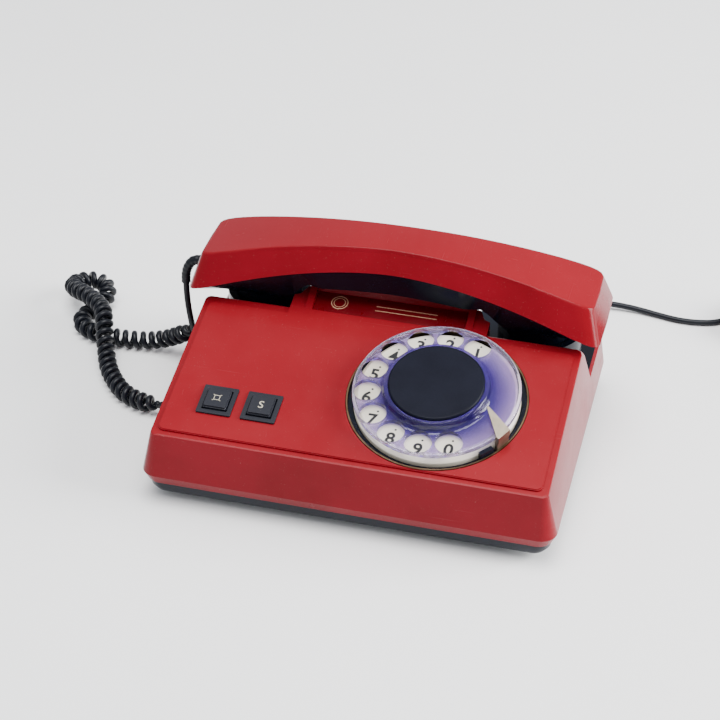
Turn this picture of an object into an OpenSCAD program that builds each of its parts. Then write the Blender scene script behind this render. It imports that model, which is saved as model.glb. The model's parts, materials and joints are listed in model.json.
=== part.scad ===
// Low desk telephone with a rotary dial, two push keys and a handset lying across its back.
// Lengths are in millimetres. +X is to the right, +Y to the back and +Z up. The origin is on
// the table under the middle of the telephone.

/* [Body] */
// Half of the body's width at its widest line
body_half_w = 100; // [99.5:0.1:100.5]
// Half of the body's depth at its widest line
body_half_d = 77; // [76.5:0.1:77.5]
// Height of the front top edge
front_z = 38; // [37.5:0.1:38.5]
// Slope of the top panel in degrees
slope = 13.5; // [13.3:0.1:13.7]
// Thickness of the moulded walls
wall = 2.5; // [2.3:0.1:2.7]

/* [Dial] */
// Sideways place of the dial on the panel
dial_x = 33.3; // [33:0.1:33.6]
// Place of the dial up the panel's slope
dial_up = 47.2; // [47:0.1:47.4]
// Radius of the finger wheel
wheel_r = 39.75; // [39.5:0.05:39.8]
// Radius of one finger hole
hole_r = 6.5; // [6.2:0.1:6.7]
// Radius of the circle that the finger holes lie on
hole_ring_r = 32.6; // [32.4:0.1:32.8]
// Angle from one finger hole to the next
hole_step = 25.2; // [25:0.1:25.4]

/* [Keys] */
// Side of one square key cap
cap_w = 11.6; // [11.2:0.1:11.8]
// Distance between the two keys
key_pitch = 21.85; // [21.5:0.05:22.2]

/* [Handset] */
// Half of the handset's length at its lower rim
handset_half_l = 103.3; // [103:0.1:103.5]
// Height of the handset's top in the middle
handset_top_z = 95.5; // [95:0.1:96]
// Radius of the ear cap and of the mouth cap
cap_r = 16.5; // [16.2:0.1:16.6]

/* [Cords] */
// Outer diameter of the curly handset cord
curl_d = 10; // [9.8:0.1:10.2]
// Diameter of the plain cords
cord_d = 3.2; // [3:0.1:3.2]

/* [Hidden] */
$fn = 48;
HULL_FN = 32;
BIG = 400;

// Main levels of the body
front_y = -73;
wide_z = 16;
seam_z = 11;
pan_z = 4.5;
deck_z = 34;
panel_l = 92;
panel_half_w = 95;
panel_d = panel_l * cos(slope);
rear_y = front_y + panel_d;
rear_z = front_z + panel_l * sin(slope);
plateau_h = 1.2;
seat_x = 70;
seat_y = 42;
lip_x = -1.5;

// Plan of the panel's rear edge, which runs back towards the middle and carries the lip
edge_in_y = 23.3;
lip_y = 30;
lip_half_w = 43.5;
lip_foot_w = 47.5;

// Dial levels, measured up from the panel's ledge
frame_h = -8;
back_h = -20;
plate_top_h = 4.5;
plate_r = 39.5;
ring_top_h = -0.8;
trim_top_h = 1.5;
web_h = 5.3;
wheel_top_h = 8.2;
hub_low_h = 10.5;
hub_top_h = 13.4;
stop_h = 9.2;
stop_slope = 4.6;
stop_r = 42.8;
first_hole = 65.8;
hole_count = 10;
stop_angle = -31;

shaft_fit_r = 3.02;

// Dial gears: tooth counts, modules and places
main_teeth = 48;
pinion_teeth = 12;
main_mod = 0.8;
fast_teeth = 40;
fast_pinion_teeth = 10;
fast_mod = 0.5;
pinion_dist = (main_teeth + pinion_teeth) * main_mod / 2;
governor_dist = (fast_teeth + fast_pinion_teeth) * fast_mod / 2;
pinion_at = 150;
governor_turn = 73.8;
pinion_pos = [pinion_dist * cos(pinion_at), pinion_dist * sin(pinion_at)];
governor_pos = pinion_pos
    + governor_dist * [cos(pinion_at + governor_turn), sin(pinion_at + governor_turn)];

// Keys: place of the first key on the panel
key_x = -68.2;
key_up = 24.8;
bezel_w = 17;
key_xs = [key_x, key_x + key_pitch];

// Handset: depth axis and heights
hand_y = 36;
hand_low_z = 85.2;
hand_wall = 2.2;
cover_depth = 10;
cover_sag = 3;
cover_flat_z = 59.5;
cap_low_z = 50;

// Cord routes, as points by hand. The curly cord's route is its middle line.
CURL_ROUTE = [
    [-112, 38, 21], [-120, 41, 14], [-129, 43, 8.5], [-139, 43, 5.6], [-149, 42, 5.2],
    [-159, 42, 5.2], [-169, 43, 5.2], [-177, 47, 5.2], [-181, 54, 5.2], [-179, 62, 5.4],
    [-176, 69, 6], [-175, 76, 7], [-178, 83, 8], [-185, 86, 9], [-192, 82, 10],
    [-194, 75, 11.5], [-189, 68, 13.5], [-182, 63, 15.4], [-174, 57, 16],
    [-167, 50, 16], [-163, 42, 15.6], [-160, 34, 12], [-156, 25, 7.5], [-151, 15, 5.3],
    [-144, 5, 5.2], [-135, -4, 5.2], [-124, -9, 5.4], [-113, -12, 7]
];
boot_z = 66.2;
BOOT_ROUTE = [
    [-95, 36, boot_z], [-100, 36, boot_z], [-105, 35.9, boot_z], [-108.6, 35.4, 65],
    [-111, 34.8, 61.6], [-112, 34.4, 57.6], [-112.2, 34.2, 53]
];
TAIL_ROUTE = [
    [-112.2, 34.2, 52.7], [-112.2, 34.2, 46], [-111.9, 34.4, 38], [-111.5, 35.2, 31],
    [-111.4, 36.6, 25], [-112, 38, 21]
];
END_ROUTE = [[-113, -12, 7], [-111.5, -12.4, 8.2], [-109.9, -12.5, 9]];
LINE_ROUTE = [
    [55, 101, 11], [55, 108, 9], [56, 116, 7], [59, 124, 5], [64, 131, 3.5],
    [71, 137, 3], [80, 141, 3.2], [90, 143, 3.4], [100, 143.6, 3], [110, 143.2, 2.2],
    [120, 141.6, 1.7], [130, 139.6, 1.7], [140, 139.6, 1.7], [150, 142, 1.7],
    [158, 148, 1.7], [165, 156, 1.7]
];
COIL_AT = [186, 146];
COIL_R = 18;
COIL_W = 13;
PLUG_AT = [208.5, 102];

function unit(v) = v / norm(v);
function perpendicular(v, t) = unit(v - (v * t) * t);
function tangents(p) = [
    for (i = [0 : len(p) - 1]) unit(p[min(i + 1, len(p) - 1)] - p[max(i - 1, 0)])
];
function normals(t) = [
    for (i = 0, n = perpendicular([0.3, 0.2, 1], t[0]); i < len(t);
         i = i + 1, n = perpendicular(n, t[min(i, len(t) - 1)])) n
];

// A round tube along the points of a route
module tube(route, d, sides) {
    t = tangents(route);
    n = normals(t);
    points = [
        for (i = [0 : len(route) - 1], k = [0 : sides - 1])
            route[i] + d / 2 * (cos(360 * k / sides) * n[i]
                + sin(360 * k / sides) * cross(t[i], n[i]))
    ];
    last = (len(route) - 1) * sides;
    faces = concat(
        [[for (k = [0 : sides - 1]) k]],
        [for (i = [0 : len(route) - 2], k = [0 : sides - 1])
            let (a = i * sides + k, b = i * sides + (k + 1) % sides)
                [a, a + sides, b + sides, b]],
        [[for (k = [0 : sides - 1]) last + sides - 1 - k]]
    );
    polyhedron(points, faces, convexity = 10);
}

module rounded_rect(w, d, r) {
    square([w - 2 * r, d], center = true);
    square([w, d - 2 * r], center = true);
    for (x = [-1, 1], y = [-1, 1])
        translate([x * (w / 2 - r), y * (d / 2 - r)]) circle(r);
}

module rounded_block(w, d, h, r) {
    linear_extrude(h) rounded_rect(w, d, r);
}

module ring(inner, outer, h) {
    difference() {
        cylinder(r = outer, h = h);
        translate([0, 0, -1]) cylinder(r = inner, h = h + 2);
    }
}

module on_panel(h = 0) {
    translate([0, front_y, front_z]) rotate([slope, 0, 0]) translate([0, 0, h]) children();
}

module on_dial(h = 0) {
    on_panel(h) translate([dial_x, dial_up, 0]) children();
}

// A slice of the body's outline at a height, for the hulls
module slice(half_w, y0, y1, z, r) {
    translate([0, (y0 + y1) / 2, z])
        linear_extrude(0.02)
            rounded_rect(2 * half_w, y1 - y0, r, $fn = HULL_FN);
}

module panel_slice(inset, h) {
    on_panel(h) translate([0, panel_l / 2, -0.02])
        linear_extrude(0.02)
            rounded_rect(2 * (panel_half_w - inset), panel_l - 2 * inset, 3, $fn = HULL_FN);
}

// The body's outer form, shrunk by a wall thickness for its inside
module wedge(t) {
    hull() {
        panel_slice(1.2 + t, -t);
        panel_slice(0.35 + t, -0.35 - t);
        panel_slice(t, -1.2 - t);
        slice(body_half_w - t, t - body_half_d, body_half_d - t, wide_z, 8);
    }
}

module rear_block(t) {
    hull() {
        slice(96.4 - t, t - 20, 73.6 - t, deck_z - t, 7);
        slice(97.9 - t, t - 20, 75 - t, deck_z - t - 1.5, 8);
        slice(body_half_w - t, t - 20, body_half_d - t, wide_z, 8);
    }
}

module skirt(t, low) {
    hull() {
        slice(body_half_w - t, t - body_half_d, body_half_d - t, wide_z, 8);
        slice(98 - t, t - 75, 75 - t, low, 7);
    }
}

// Plan area in front of the handset well, shrunk by a wall thickness at its rear edge
module front_plan(t) {
    polygon([
        [-120, -100], [120, -100], [120, rear_y - t], [lip_x + lip_foot_w, edge_in_y - t],
        [lip_x - lip_foot_w, edge_in_y - t], [-120, rear_y - t]
    ]);
}

module lip_plan(t) {
    polygon([
        [lip_x - lip_foot_w - 2, 0], [lip_x + lip_foot_w + 2, 0],
        [lip_x + lip_foot_w + 2 - t, edge_in_y - t], [lip_x + lip_foot_w - 1 - t, edge_in_y + 1.2 - t],
        [lip_x + lip_half_w + 1 - t, lip_y - 1.4 - t], [lip_x + lip_half_w - t, lip_y - t],
        [lip_x - lip_half_w + t, lip_y - t], [lip_x - lip_half_w - 1 + t, lip_y - 1.4 - t],
        [lip_x - lip_foot_w + 1 + t, edge_in_y + 1.2 - t], [lip_x - lip_foot_w - 2 + t, edge_in_y - t]
    ]);
}

module under_panel(h) {
    on_panel(h) translate([-BIG / 2, -BIG / 2, -BIG]) cube(BIG);
}

// Side cheeks: the side walls run back behind the panel down to the rear deck
module cheek_prism(side) {
    translate([side > 0 ? body_half_w - 8.5 : -body_half_w, 0, 0])
        rotate([90, 0, 90])
            linear_extrude(8.5)
                polygon([
                    [rear_y - 6, 20], [rear_y - 6, rear_z + 5], [rear_y + 0.5, rear_z + 5],
                    [rear_y + 0.5, rear_z - 0.8], [31, deck_z - 0.5], [31, 20]
                ]);
}

module dial_frame_holes(d, h) {
    for (a = [30, 210, 300]) rotate(a) translate([35, 0, 0]) cylinder(d = d, h = h);
}

// Places of the four screws that hold the body together, as [x, y, top of the boss]
BOSSES = [[-84, -58, 40], [84, -58, 40], [-84, 60, 33], [84, 60, 33]];

module at_bosses() {
    for (b = BOSSES) translate([b[0], b[1], 0]) children();
}

module housing_shell() {
    difference() {
        union() {
            intersection() {
                wedge(0);
                union() {
                    linear_extrude(BIG) front_plan(0);
                    cheek_prism(-1);
                    cheek_prism(1);
                }
            }
            rear_block(0);
            skirt(0, seam_z);
            intersection() {
                translate([0, 0, deck_z - 4]) linear_extrude(BIG) lip_plan(0);
                under_panel(plateau_h);
            }
        }
        intersection() {
            wedge(wall);
            linear_extrude(BIG) front_plan(wall);
        }
        rear_block(wall);
        skirt(wall, seam_z - 1);
        intersection() {
            translate([0, 0, deck_z - 8]) linear_extrude(BIG) lip_plan(wall);
            under_panel(plateau_h - wall);
        }
    }
}

module upper_housing() {
    color("firebrick")
    difference() {
        union() {
            housing_shell();
            // Raised plateau of the panel
            on_panel(-1) translate([0, 45.2, 0]) rounded_block(183.4, 83.6, plateau_h + 0.6, 3);
            on_panel(-1) translate([0, 45.2, 0]) rounded_block(182.6, 82.8, plateau_h + 1, 3);
            // Lip behind the nameplate, with its two side ridges
            on_panel() translate([lip_x - 42, 0, 0]) rotate([90, 0, 90])
                linear_extrude(84)
                    polygon([[104.2, 0], [104.2, plateau_h], [105.6, 4.6], [107.2, 4.6],
                        [108.6, 3], [108.6, -8], [106, -8]]);
            for (x = [lip_x - 42, lip_x + 38.5])
                on_panel() translate([x, 0, 0]) rotate([90, 0, 90])
                    linear_extrude(3.5)
                        polygon([[91, 0], [91, plateau_h], [105.6, 4.4], [105.6, 0]]);
            // Round seats for the ear cap and the mouth cap
            for (x = [-seat_x, seat_x])
                translate([x, seat_y, deck_z - 1]) cylinder(r = cap_r + 4.5, h = 19);
            for (b = BOSSES) translate([b[0], b[1], seam_z]) cylinder(r = 4, h = b[2] - seam_z);
        }
        on_dial(-30) cylinder(r = 43.3, h = 60);
        for (x = key_xs)
            on_panel(-10) translate([x, key_up, 0]) linear_extrude(30) square(15.4, center = true);
        on_panel(plateau_h - 0.8) translate([lip_x, 97.6, 0])
            linear_extrude(30) square([76.4, 13], center = true);
        for (x = [-seat_x, seat_x]) translate([x, seat_y, 0]) {
            translate([0, 0, cap_low_z - 0.3]) cylinder(r = cap_r + 1, h = 20);
            cylinder(r = 3.3, h = 60);
            translate([0, 0, deck_z - 5]) cylinder(r = cap_r, h = 13);
        }
        at_bosses() translate([0, 0, seam_z - 1]) cylinder(r = 1.6, h = 17);
        // Rear mouth for the line cord and left mouth for the handset cord
        translate([55, 60, seam_z - 1]) linear_extrude(5.4) square([9, 60], center = true);
        translate([-110, -16.9, seam_z - 2]) cube([20, 8.8, 4.4]);
    }
}

module base_pan() {
    color("#15161a")
    difference() {
        union() {
            difference() {
                hull() {
                    slice(97.4, -74.4, 74.4, seam_z - 0.2, 7);
                    slice(97, -74, 74, 7.5, 7);
                    slice(95, -72.4, 72.4, pan_z, 6);
                }
                hull() {
                    slice(94.8, -71.8, 71.8, seam_z + 1, 6);
                    slice(92.6, -70, 70, 7, 5);
                }
            }
            // Inner lip that the housing drops over
            translate([0, 0, 8]) linear_extrude(6) difference() {
                rounded_rect(190.2, 144.2, 6);
                rounded_rect(186.2, 140.2, 5);
            }
            at_bosses() translate([0, 0, 5]) cylinder(r = 5, h = 5.8);
            // Sockets of the two cords
            translate([45, 62, 6]) cube([20, 10, 8]);
            translate([-94, -22, 6]) cube([5, 19, 8]);
        }
        at_bosses() {
            translate([0, 0, 4]) cylinder(r = 1.9, h = 10);
            translate([0, 0, 4]) cylinder(r = 3.6, h = 4);
        }
        for (x = [-72, 72], y = [-56, 56]) translate([x, y, 4]) cylinder(r = 3.1, h = 6);
        translate([55, 50, 11]) rotate([-90, 0, 0]) cylinder(r = 3.05, h = 40);
        translate([-80, -12.5, 9]) rotate([0, -90, 0]) cylinder(r = 3.05, h = 40);
    }
}

module rubber_feet() {
    color("#202124")
    for (x = [-72, 72], y = [-56, 56]) translate([x, y, 0]) {
        cylinder(r1 = 7, r2 = 8, h = 1.5);
        translate([0, 0, 1.5]) cylinder(r = 8, h = pan_z - 1.5);
        translate([0, 0, pan_z]) cylinder(r = 3, h = 3.5);
    }
}

module housing_screws() {
    color("silver") at_bosses() {
        difference() {
            translate([0, 0, 5.4]) cylinder(r = 3.2, h = 2.5);
            translate([0, 0, 5]) cube([0.8, 5, 2], center = true);
        }
        translate([0, 0, 7.9]) cylinder(r = 1.5, h = 17);
    }
}

module nameplate() {
    color("#7d1a22")
    on_panel(plateau_h - 0.8) translate([lip_x, 97.6, 0])
        linear_extrude(0.6) square([76, 12.6], center = true);
}

module key_bezel(x) {
    on_panel() translate([x, key_up, 0]) difference() {
        union() {
            translate([0, 0, plateau_h]) rounded_block(bezel_w, bezel_w, 1, 0.6);
            translate([0, 0, -6]) linear_extrude(6 + plateau_h) square(15, center = true);
        }
        translate([0, 0, -7]) linear_extrude(20) square(cap_w + 0.8, center = true);
    }
}

module key_cap(x) {
    on_panel() translate([x, key_up, 0]) {
        translate([0, 0, -4]) rounded_block(cap_w, cap_w, 7, 0.8);
        translate([0, 0, 3]) rounded_block(cap_w - 0.8, cap_w - 0.8, 1, 0.8);
        translate([0, 0, -8]) cylinder(r = 2, h = 4);
    }
}

module key_switch(x) {
    on_panel() translate([x, key_up, -19]) {
        rounded_block(13, 13, 7, 1);
        translate([0, 0, 7]) cylinder(r = 3, h = 0.8);
    }
}

module key_bezel_left() { color("#101114") key_bezel(key_xs[0]); }
module key_bezel_right() { color("#101114") key_bezel(key_xs[1]); }
module key_cap_left() { color("#17181c") key_cap(key_xs[0]); }
module key_cap_right() { color("#17181c") key_cap(key_xs[1]); }
module key_switch_left() { color("dimgray") key_switch(key_xs[0]); }
module key_switch_right() { color("dimgray") key_switch(key_xs[1]); }

module dial_trim_ring() {
    color("goldenrod") on_dial(-3) ring(42.3, 43, trim_top_h + 3);
}

module dial_mount_ring() {
    color("#101114") on_dial() difference() {
        union() {
            translate([0, 0, -6]) ring(39.7, 42.25, ring_top_h + 6);
            translate([0, 0, -6]) ring(36, 42.25, 2);
            rotate(-44) translate([40.9, 0, -2]) linear_extrude(6.4) square([2, 7], center = true);
        }
        translate([0, 0, -7]) dial_frame_holes(2.6, 4);
    }
}

module number_plate() {
    color("ivory") on_dial(plate_top_h) rotate_extrude()
        polygon([[6.6, -1.2], [36, -1.2], [38.3, -3.2], [38.3, -5.5], [plate_r, -5.5],
            [plate_r, -2.9], [plate_r - 0.2, -2.3], [plate_r - 2.2, -0.4], [plate_r - 2.9, 0], [6.6, 0]]);
}

module finger_stop() {
    color("ivory") on_dial() rotate(stop_angle) {
        translate([stop_r, 0, stop_h]) rotate([0, stop_slope, 0]) linear_extrude(0.9)
            polygon([[-16.4, 5.8], [-15.8, 6.6], [0, 3.8], [0, -3.8], [-1.4, -3.8]]);
        translate([41.7, 0, 6]) linear_extrude(stop_h - 5.8) square([2.2, 7.6], center = true);
        translate([41.2, 0, ring_top_h]) linear_extrude(6.8) square([1.8, 7.6], center = true);
    }
}

module dial_frame() {
    color("silver") on_dial(frame_h) difference() {
        cylinder(r = 38.5, h = 1.5);
        translate([0, 0, -1]) cylinder(r = 5.05, h = 4);
        translate([0, 0, -1]) dial_frame_holes(2.6, 4);
        translate([pinion_pos[0], pinion_pos[1], -1]) cylinder(r = 1.55, h = 4);
        translate([governor_pos[0], governor_pos[1], -1]) cylinder(r = 1.05, h = 4);
    }
}

module dial_back_plate() {
    color("silver") on_dial(back_h) difference() {
        cylinder(r = 38.5, h = 1.2);
        translate([0, 0, -1]) cylinder(r = 3.05, h = 4);
        translate([0, 0, -1]) dial_frame_holes(2.6, 4);
        translate([pinion_pos[0], pinion_pos[1], -1]) cylinder(r = 1.55, h = 4);
        translate([governor_pos[0], governor_pos[1], -1]) cylinder(r = 1.05, h = 4);
    }
}

module dial_pillars() {
    color("silver") on_dial() for (a = [30, 210, 300]) rotate(a) translate([35, 0, 0]) {
        translate([0, 0, back_h + 1.2]) cylinder(r = 2.4, h = frame_h - back_h - 1.2);
        translate([0, 0, back_h - 1.5]) cylinder(r = 1.25, h = 17);
        translate([0, 0, back_h - 3]) cylinder(r = 2.4, h = 1.5 + 1.5);
    }
}

module dial_bush() {
    color("goldenrod") on_dial() {
        translate([0, 0, frame_h - 0.5]) ring(3.05, 5, 12);
        translate([0, 0, frame_h + 1.5]) ring(3.05, 6.4, 1.5);
    }
}

// Flat spiral of spring strip between the frame and the main gear
module mainspring() {
    turns = 4;
    steps = 24;
    inner = [for (i = [0 : turns * steps]) let (r = 6 + 1.7 * i / steps, a = 360 * i / steps)
        [r * cos(a), r * sin(a)]];
    outer = [for (i = [turns * steps : -1 : 0]) let (r = 6.4 + 1.7 * i / steps, a = 360 * i / steps)
        [r * cos(a), r * sin(a)]];
    color("steelblue") on_dial(frame_h - 2.4) linear_extrude(1.8) polygon(concat(inner, outer));
}

module dial_contacts() {
    color("goldenrod") on_dial(-10.4) for (i = [0 : 2])
        rotate(pinion_at) translate([pinion_dist + 5.2 + 1.4 * i, -12, 0]) cube([0.4, 15, 1.8]);
}

module finger_wheel() {
    color([0.45, 0.4, 0.75, 0.5]) on_dial() difference() {
        rotate_extrude() polygon([
            [shaft_fit_r, web_h], [8, web_h + 0.3], [24, web_h + 0.3], [38.4, web_h],
            [wheel_r, web_h + 0.6], [wheel_r, wheel_top_h - 0.5], [wheel_r - 0.2, wheel_top_h - 0.15],
            [wheel_r - 0.7, wheel_top_h], [38.4, wheel_top_h], [37.8, wheel_top_h - 0.4],
            [27.6, wheel_top_h - 0.4], [26.2, wheel_top_h + 0.3], [25.4, wheel_top_h + 1.5],
            [24.8, 11.7], [24.2, 12.1], [22.9, 12.1], [22.9, hub_low_h - 0.2], [shaft_fit_r, hub_low_h - 0.2]
        ]);
        for (i = [0 : hole_count - 1]) rotate(first_hole + i * hole_step)
            translate([hole_ring_r, 0, 0]) cylinder(r = hole_r, h = 12);
    }
}

module hub_cap() {
    color("#0f1014") on_dial() rotate_extrude()
        polygon([[0, hub_low_h], [22.7, hub_low_h], [22.7, hub_top_h - 0.7], [22.4, hub_top_h - 0.2],
            [21.8, hub_top_h], [0, hub_top_h]]);
}

module dial_shaft() {
    color("silver") on_dial(back_h - 1) cylinder(r = 3, h = hub_low_h - 0.1 - back_h + 1);
}

// Straight-sided gear teeth, thinned a little for backlash
function gear_points(teeth, m) = let (p = 360 / teeth, r = teeth * m / 2) [
    for (i = [0 : teeth - 1], q = [[-0.30, -1.2], [-0.21, 0], [-0.11, 0.85], [0.11, 0.85], [0.21, 0], [0.30, -1.2]])
        (r + q[1] * m) * [cos((i + q[0]) * p), sin((i + q[0]) * p)]
];

module gear(teeth, m, h, bore) {
    linear_extrude(h) difference() {
        polygon(gear_points(teeth, m));
        circle(bore);
    }
}

module main_gear() {
    color("goldenrod") on_dial(-14) {
        rotate(pinion_at) gear(main_teeth, main_mod, 1.6, shaft_fit_r);
        translate([0, 0, 1.6]) ring(shaft_fit_r, 5, 1);
    }
}

// Second shaft: the pinion that the main gear drives and the fast gear, on one arbor
module pinion_gear() {
    color("goldenrod") on_dial() translate([pinion_pos[0], pinion_pos[1], 0]) {
        rotate(pinion_at + 180 / pinion_teeth + 180)
            translate([0, 0, -14.4]) gear(pinion_teeth, main_mod, 2.4, 1);
        rotate(pinion_at + governor_turn)
            translate([0, 0, -17.6]) gear(fast_teeth, fast_mod, 1.2, 1);
        translate([0, 0, back_h - 0.8]) cylinder(r = 1.5, h = 14.2);
    }
}

module pulse_cam() {
    color("saddlebrown") on_dial(-10.4) translate([pinion_pos[0], pinion_pos[1], 0])
        difference() {
            union() {
                cylinder(r = 2.8, h = 1.6);
                translate([0, 0, 0.8]) cube([7.6, 2.4, 1.6], center = true);
            }
            translate([0, 0, -1]) cylinder(r = 1.5, h = 4);
        }
}

module governor() {
    color("silver") on_dial() translate([governor_pos[0], governor_pos[1], 0]) {
        rotate(pinion_at + governor_turn + 180 + 180 / fast_pinion_teeth)
            translate([0, 0, -18]) gear(fast_pinion_teeth, fast_mod, 2, 0.7);
        translate([0, 0, back_h - 0.6]) cylinder(r = 1, h = 13.8);
    }
}

module governor_weights() {
    color("goldenrod") on_dial(-12) translate([governor_pos[0], governor_pos[1], 0])
        difference() {
            union() {
                cylinder(r = 2.2, h = 2.4);
                for (s = [-1, 1]) translate([s * 3.8, 0, 0]) cylinder(r = 2, h = 2.4);
            }
            translate([0, 0, -1]) cylinder(r = 1, h = 5);
        }
}

board_z = 12;

module board_corners() {
    for (x = [-54, 38], y = [47, 67]) translate([x, y, 0]) children();
}

module circuit_board() {
    color("#b08a4a") difference() {
        translate([-58, 44, board_z]) cube([100, 26, 1.6]);
        board_corners() translate([0, 0, board_z - 1]) cylinder(r = 1.5, h = 4);
    }
}

module board_screws() {
    color("silver") board_corners() {
        translate([0, 0, 7]) cylinder(r = 1.4, h = board_z - 5.4);
        translate([0, 0, board_z + 1.6]) cylinder(r = 2.6, h = 1.4);
    }
}

module transformer() {
    color("dimgray") translate([-42, 49, board_z + 1.6]) {
        cube([18, 16, 12]);
        translate([4, -1, 2]) cube([10, 18, 8]);
    }
}

module capacitor() {
    color("steelblue") translate([-16, 57, board_z + 7]) rotate([0, 90, 0]) cylinder(r = 5.4, h = 22);
}

module terminal_block() {
    color("ivory") translate([14, 50, board_z + 1.6]) difference() {
        cube([20, 9, 8]);
        for (i = [0 : 3]) translate([2.5 + 5 * i, 4.5, 4]) cylinder(r = 1.6, h = 6);
    }
}

// Bell: two gongs on posts, a coil and the clapper between the gongs
gong_y = -20;
gong_large_x = -71.2;
gong_small_x = -24.8;
gong_z = 13;

module gong(r) {
    translate([0, 0, gong_z]) rotate_extrude()
        polygon([[2, 9], [2, 10], [r - 6, 10], [r - 1.6, 7], [r, 0], [r - 1, 0], [r - 2.6, 6.4],
            [r - 6.4, 9]]);
}

module gong_large() { color("silver") translate([gong_large_x, gong_y, 0]) gong(17); }
module gong_small() { color("silver") translate([gong_small_x, gong_y, 0]) gong(15.6); }

module gong_posts() {
    color("silver") for (x = [gong_large_x, gong_small_x]) translate([x, gong_y, 0]) {
        translate([0, 0, 7]) cylinder(r = 3, h = gong_z + 2);
        translate([0, 0, 7]) cylinder(r = 1.9, h = gong_z + 5);
        translate([0, 0, gong_z + 10]) cylinder(r = 3.4, h = 1.6);
    }
}

clapper_x = -47.3;
clapper_y = 14;

module ringer_coil() {
    color("saddlebrown") translate([clapper_x, clapper_y + 6, 0]) {
        translate([-14, 0, 7]) cube([28, 14, 1.5]);
        translate([0, 7, 8.5]) cylinder(r = 6.5, h = 14);
        translate([0, 7, 8.5]) cylinder(r = 2.5, h = 17);
    }
    color("silver") translate([clapper_x, clapper_y, 7]) cylinder(r = 1.5, h = 14);
}

module clapper() {
    color("goldenrod") translate([clapper_x, clapper_y, 14]) {
        difference() {
            cylinder(r = 3.2, h = 3);
            translate([0, 0, -1]) cylinder(r = 1.56, h = 5);
        }
        translate([-1, -33, 0.8]) cube([2, 31, 1.4]);
        translate([0, -34, -1]) cylinder(r = 3.6, h = 5);
    }
}

module hook_plungers() {
    color("ivory") for (x = [-seat_x, seat_x]) translate([x, seat_y, 24]) {
        cylinder(r = 3, h = cap_low_z - 23);
        translate([0, 0, cap_low_z - 23]) cylinder(r1 = 3, r2 = 2.4, h = 0.3);
    }
}

module hook_yoke() {
    color("silver") translate([0, seat_y - 4.5, 20]) {
        difference() {
            translate([-seat_x - 5, 0, 3]) cube([2 * seat_x + 10, 9, 1]);
            translate([-44, 5, 2]) cube([90, 6, 3]);
        }
        translate([-12, 0, 0]) cube([24, 1, 3]);
    }
}

// Return spring of the hook, as a short helix
module hook_spring() {
    turns = 5;
    steps = 12;
    route = [for (i = [0 : turns * steps])
        [seat_x - 12 + 3 * cos(360 * i / steps), seat_y + 3 * sin(360 * i / steps),
            7.8 + 14.4 * i / (turns * steps)]];
    color("lightsteelblue") tube(route, 0.8, 6);
}

module hook_contacts() {
    color("goldenrod") for (i = [0 : 2]) translate([-8, 32 + 1.6 * i, 8]) cube([16, 0.5, 11]);
    color("saddlebrown") translate([-10, 31, 7]) cube([20, 6, 5]);
}

// Handset outlines. s runs from -1 to 1 along the length.
STATIONS = concat(
    [-1, -0.996, -0.985, -0.965, -0.93, -0.88],
    [for (i = [-20 : 20]) i * 0.04],
    [0.88, 0.93, 0.965, 0.985, 0.996, 1]
);
// Depth profile at the ends: squarish with slightly bowed ends
function end_round(s) = pow(max(0, 1 - pow(abs(s), 12)), 1 / 10);
function top_half(x) = 12.7 + 6.1 * pow(abs(x) / 90, 1.6);
function rim_half(x) = 18.4 + 8.4 * pow(abs(x) / 90, 1.6);
function top_z(x) = handset_top_z - 11.7 * pow(abs(x) / 90, 1.93);
function rim_z(x) = hand_low_z - 16.2 * pow(abs(x) / 90, 1.85);
function ramp(x) = min(1, max(0, (abs(x) - 44) / 12));
function lean_share(x) = min(1, max(0, (abs(x) - 36) / 12));
function cover_mid_z(x) = rim_z(x) - cover_depth - cover_sag * max(0, 1 - pow(x / 45, 2));
function cover_z(x) = cover_mid_z(x) * (1 - ramp(x)) + cover_flat_z * ramp(x);

// One closed loop round the handset: front points left to right, then rear points back.
// Over the cups its middle moves back by lean.
function loop(half_l, halves, heights, y0, lean = 0) = concat(
    [for (i = [0 : len(STATIONS) - 1]) let (s = STATIONS[i])
        [half_l * s, y0 + lean * lean_share(half_l * s) - halves[i] * end_round(s), heights[i]]],
    [for (i = [len(STATIONS) - 2 : -1 : 1]) let (s = STATIONS[i])
        [half_l * s, y0 + lean * lean_share(half_l * s) + halves[i] * end_round(s), heights[i]]]
);

// Places of the two screws that hold the handset's halves together
hand_boss_z = 73.8;

module at_hand_screws() {
    for (x = [-30, 30]) translate([x, hand_y + 3, 0]) children();
}

// Hole in the handset's left end, at the seam, that the cord's boot sits in
module boot_hole() {
    translate([-110, BOOT_ROUTE[0][1], boot_z]) rotate([0, 90, 0]) cylinder(r = 2.9, h = 18);
}

// A solid through a stack of loops, closed below and above by strips across the depth
module loft(loops) {
    m = len(STATIONS);
    n = 2 * m - 2;
    last = (len(loops) - 1) * n;
    function back(i) = n - i;
    strips = [for (i = [1 : m - 2]) [i, i + 1, i + 1 == m - 1 ? i + 1 : back(i + 1), back(i)]];
    points = [for (l = loops) each l];
    faces = concat(
        [for (j = [0 : len(loops) - 2], i = [0 : n - 1])
            each [[j * n + i, (j + 1) * n + i, j * n + (i + 1) % n],
                [(j + 1) * n + i, (j + 1) * n + (i + 1) % n, j * n + (i + 1) % n]]],
        [[0, 1, n - 1]],
        [for (q = strips) each [[q[0], q[1], q[3]], q[1] == q[2] ? [] : [q[1], q[2], q[3]]]],
        [[last, last + n - 1, last + 1]],
        [for (q = strips) each [[last + q[0], last + q[3], last + q[1]],
            q[1] == q[2] ? [] : [last + q[1], last + q[3], last + q[2]]]]
    );
    polyhedron(points, [for (f = faces) if (len(f) > 2) f], convexity = 10);
}

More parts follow.
